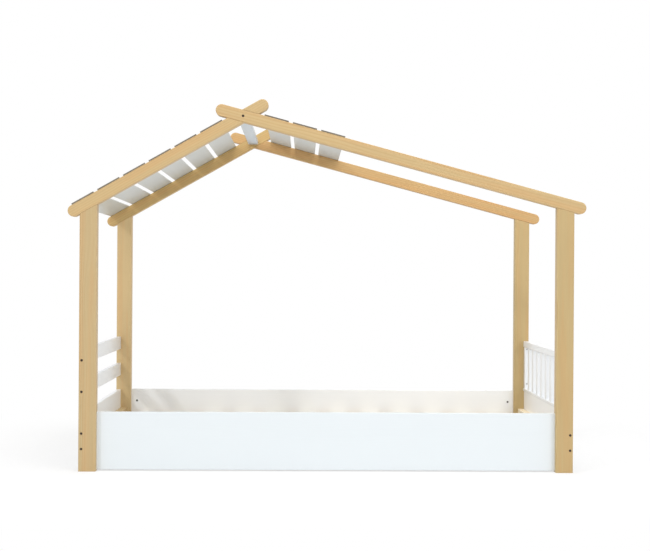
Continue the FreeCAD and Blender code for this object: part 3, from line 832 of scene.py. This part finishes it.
@dataclass
class Surround:
    """Side panels, boards of the head and barred guard of the foot.

    Attributes:
        front_seed: Stretch of timber of the front panel.
        back_seed: Stretch of timber of the back panel.
        across_seed: Stretch of timber of the first board across the bed.
        upright_seed: Stretch of timber of the first bar of the guard.
        seed_step: How far apart the boards' stretches of timber are.
    """

    front_seed: float = 5.0
    back_seed: float = 8.0
    across_seed: float = 41.0
    upright_seed: float = 60.0
    seed_step: float = 2.3

    def dress(self) -> None:
        """Paint every board."""
        front = Board("front_panel", Run.ALONG, self.front_seed)
        # Painted shade: the front panel's white is darker than the back panel's.
        dress(front.name, Finishes.front_panel_painted_shade_white.material(front))
        back = Board("back_panel", Run.ALONG, self.back_seed)
        dress(back.name, Finishes.white.material(back))
        across = ["head_low_board", "head_middle_board", "head_top_board", "foot_low_board",
                  "guard_bottom_rail", "guard_top_rail"]
        for number, name in enumerate(across):
            board = Board(name, Run.ACROSS, self.across_seed + number * self.seed_step)
            # Painted shade: the boards above the low ones take a darker white than the low
            # boards.
            paint = Finishes.white if "low" in name else Finishes.outer_painted_shade_white
            dress(name, paint.material(board))
        upright = named("guard_bar_") + named("guard_stile_")
        for number, name in enumerate(upright):
            board = Board(name, Run.UPRIGHT, self.upright_seed + number * self.seed_step)
            # Painted shade: the guard's bars and stiles take the darker white.
            dress(name, Finishes.outer_painted_shade_white.material(board))


@dataclass
class SlatBase:
    """Ledgers and sprung slats under the mattress.

    Attributes:
        ledger_seed: Stretch of timber of the first ledger.
        slat_seed: Stretch of timber of the first sprung slat.
        seed_step: How far apart the pieces' stretches of timber are.
    """

    ledger_seed: float = 80.0
    slat_seed: float = 90.0
    seed_step: float = 1.7

    def dress(self) -> None:
        """Give every piece its timber."""
        runs = {"front_ledger": Run.ALONG, "back_ledger": Run.ALONG,
                "head_ledger": Run.ACROSS, "foot_ledger": Run.ACROSS}
        for number, (name, run) in enumerate(runs.items()):
            board = Board(name, run, self.ledger_seed + number * self.seed_step)
            # Painted light: the foot ledger takes a paler pine than the head ledger.
            timber = Finishes.foot_ledger_painted_light_pine if name == "foot_ledger" else Finishes.pine
            dress(name, timber.material(board))
        for number, name in enumerate(named("base_slat_")):
            board = Board(name, Run.ACROSS, self.slat_seed + number * self.seed_step)
            dress(name, Finishes.veneer.material(board))


@dataclass
class Fixings:
    """Bolts, nuts, dowels and screws.

    Attributes:
        dark: The kinds with a dark coat.
        plated: The kinds with zinc plating.
        dowel_seed: Stretch of timber of the dowels.
    """

    dark: tuple[str, ...] = ("frame_bolts", "panel_bolts")
    plated: tuple[str, ...] = ("rafter_screws", "ledger_screws", "guard_screws",
                               "slat_screws")
    dowel_seed: float = 120.0

    def dress(self) -> None:
        """Give every kind its metal or timber."""
        dark = Finishes.dark_steel.material()
        zinc = Finishes.zinc.material()
        for name in self.dark:
            dress(name, dark)
        for name in self.plated:
            dress(name, zinc)
        # Painted shade: the barrel nuts' steel is dark grey.
        dress("barrel_nuts", Finishes.nut_steel_painted_shade.material())
        dowels = Board("wooden_dowels", Run.UPRIGHT, self.dowel_seed)
        dress(dowels.name, Finishes.beech.material(dowels))


# ------------------------------------------------------------------------- the studio
@dataclass(frozen=True)
class Lamp:
    """A round lamp that shines one way.

    Attributes:
        name: The lamp's name.
        place: Where it hangs, in metres.
        aim: The point that it faces, in metres.
        size: Its diameter, in metres.
        power: Its power, in watts.
    """

    name: str
    place: Vector
    aim: Vector
    size: float
    power: float

    def hang(self) -> None:
        """Add the lamp to the scene."""
        light = bpy.data.lights.new(self.name, "AREA")
        light.shape = "DISK"
        light.size = self.size
        light.energy = self.power
        holder = bpy.data.objects.new(self.name, light)
        holder.location = self.place
        holder.rotation_euler = (self.aim - self.place).to_track_quat("-Z", "Y").to_euler()
        bpy.context.scene.collection.objects.link(holder)


@dataclass
class Studio:
    """Pale floor, white surroundings and soft lamps.

    Attributes:
        floor_size: Side of the floor, in metres.
        floor_drop: How far the floor lies under the bed's feet, in metres.
        floor_grey: How much light the floor gives back.
        sky: Strength of the light from all round.
        shadow_share: How much of the floor's own shading the camera sees.
        reach: Half of the bed's length and width, in metres.
        clear_from: Distance from the bed where the floor starts to clear, in metres.
        clear_to: Distance where it has cleared to white, in metres.
        lamps: The soft lamps.
    """

    floor_size: float = 60.0
    floor_drop: float = 0.0005
    floor_grey: float = 0.88
    sky: float = 0.75
    shadow_share: float = 0.42
    reach: tuple[float, float] = (1.03, 0.49)
    clear_from: float = 0.02
    clear_to: float = 1.1
    lamps: Sequence[Lamp] = field(default_factory=lambda: (
        Lamp("key", Vector((-4.9, -4.9, 4.9)), Vector((0.0, 0.0, 0.6)), 0.5, 108.0),
        Lamp("fill", Vector((4.6, -5.6, 3.2)), Vector((-0.5, 0.2, 0.3)), 2.4, 81.0),
        Lamp("top", Vector((0.3, -1.0, 4.9)), Vector((0.0, 0.0, 0.2)), 3.2, 101.0),
    ))

    def seen(self, tree: Tree) -> Wire:
        """Whether a ray shows the surroundings as they look, and doesn't light.

        Args:
            tree: The node tree.

        Returns:
            1 for camera, glossy and transmission rays.
        """
        path = tree.add("ShaderNodeLightPath")
        camera, glossy, through = (Wire(tree, path.outputs[name]) for name in (
            "Is Camera Ray", "Is Glossy Ray", "Is Transmission Ray"))
        return tree.math("MAXIMUM", tree.math("MAXIMUM", camera, glossy), through)

    def build_floor(self) -> None:
        """Lay the floor: white to the eye, with the bed's shadow kept on it."""
        bpy.ops.object.select_all(action="DESELECT")
        bpy.ops.mesh.primitive_plane_add(size=self.floor_size,
                                         location=(0.0, 0.0, -self.floor_drop))
        floor = bpy.context.object
        floor.name = "floor"
        tree = Tree.named("pale_floor")
        matt = tree.wire("ShaderNodeBsdfDiffuse", 0, None, {"Color": (self.floor_grey,) * 3})
        white = tree.wire("ShaderNodeEmission", 0, None, {"Color": WHITE, "Strength": 1.0})
        place = tree.split(tree.wire("ShaderNodeTexCoord", "Object"))
        along, across = (tree.math("MAXIMUM", abs(distance) - half, 0.0)
                         for distance, half in zip(place, self.reach))
        away = (along * along + across * across).root()
        share = (1 - away.ramp(self.clear_from, self.clear_to)) * self.shadow_share
        shown = tree.wire("ShaderNodeMixShader", 0, None, {0: share, 1: white, 2: matt})
        mixed = tree.wire("ShaderNodeMixShader", 0, None, {0: self.seen(tree), 1: matt, 2: shown})
        floor.data.materials.append(tree.finish(mixed))

    def build_world(self) -> None:
        """Surround the bed with even light that looks white."""
        world = bpy.data.worlds.new("white_room")
        bpy.context.scene.world = world
        tree = Tree(world)
        light, white = (tree.wire("ShaderNodeBackground", 0, None,
                                  {"Color": WHITE, "Strength": strength})
                        for strength in (self.sky, 1.0))
        tree.finish(tree.wire("ShaderNodeMixShader", 0, None,
                              {0: self.seen(tree), 1: light, 2: white}))

    def build(self) -> None:
        """Build the floor, the surroundings and the lamps."""
        self.build_floor()
        self.build_world()
        for lamp in self.lamps:
            lamp.hang()
        bpy.context.scene.view_settings.view_transform = "Standard"
        LOG.info("studio ready")


@dataclass
class PhotoCamera:
    """The camera that sees the bed as the photograph does.

    Attributes:
        place: Where it stands, in metres.
        turn: How far it is turned towards the foot end, in degrees.
        tilt: How far it looks down, in degrees.
        roll: How far it leans, in degrees.
        focal: Focal length in picture widths.
        sensor: Width of its sensor, in millimetres.
    """

    place: tuple[float, float, float] = (-0.09921, -5.15758, 0.82294)
    turn: float = 1.078
    tilt: float = 0.051
    roll: float = 0.367
    focal: float = 1122.14 / 650
    sensor: float = 36.0

    def build(self) -> None:
        """Set the camera up."""
        camera = bpy.data.cameras.new("photo_camera")
        camera.sensor_fit = "HORIZONTAL"
        camera.sensor_width = self.sensor
        camera.lens = self.focal * self.sensor
        holder = bpy.data.objects.new("photo_camera", camera)
        bpy.context.scene.collection.objects.link(holder)
        turn = Matrix.Rotation(-math.radians(self.turn), 4, "Z")
        tilt = Matrix.Rotation(math.radians(90 - self.tilt), 4, "X")
        roll = Matrix.Rotation(math.radians(self.roll), 4, "Z")
        holder.matrix_world = Matrix.Translation(self.place) @ turn @ tilt @ roll
        bpy.context.scene.camera = holder
        LOG.info("camera ready")


def main() -> None:
    """Dress the bed, build the studio and set the camera up."""
    logging.basicConfig(level=logging.INFO, format="%(name)s: %(message)s")
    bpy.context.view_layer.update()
    for assembly in (HouseFrame(), PartRoof(), Surround(), SlatBase(), Fixings()):
        assembly.dress()
    Studio().build()
    PhotoCamera().build()


if __name__ == "__main__":
    main()
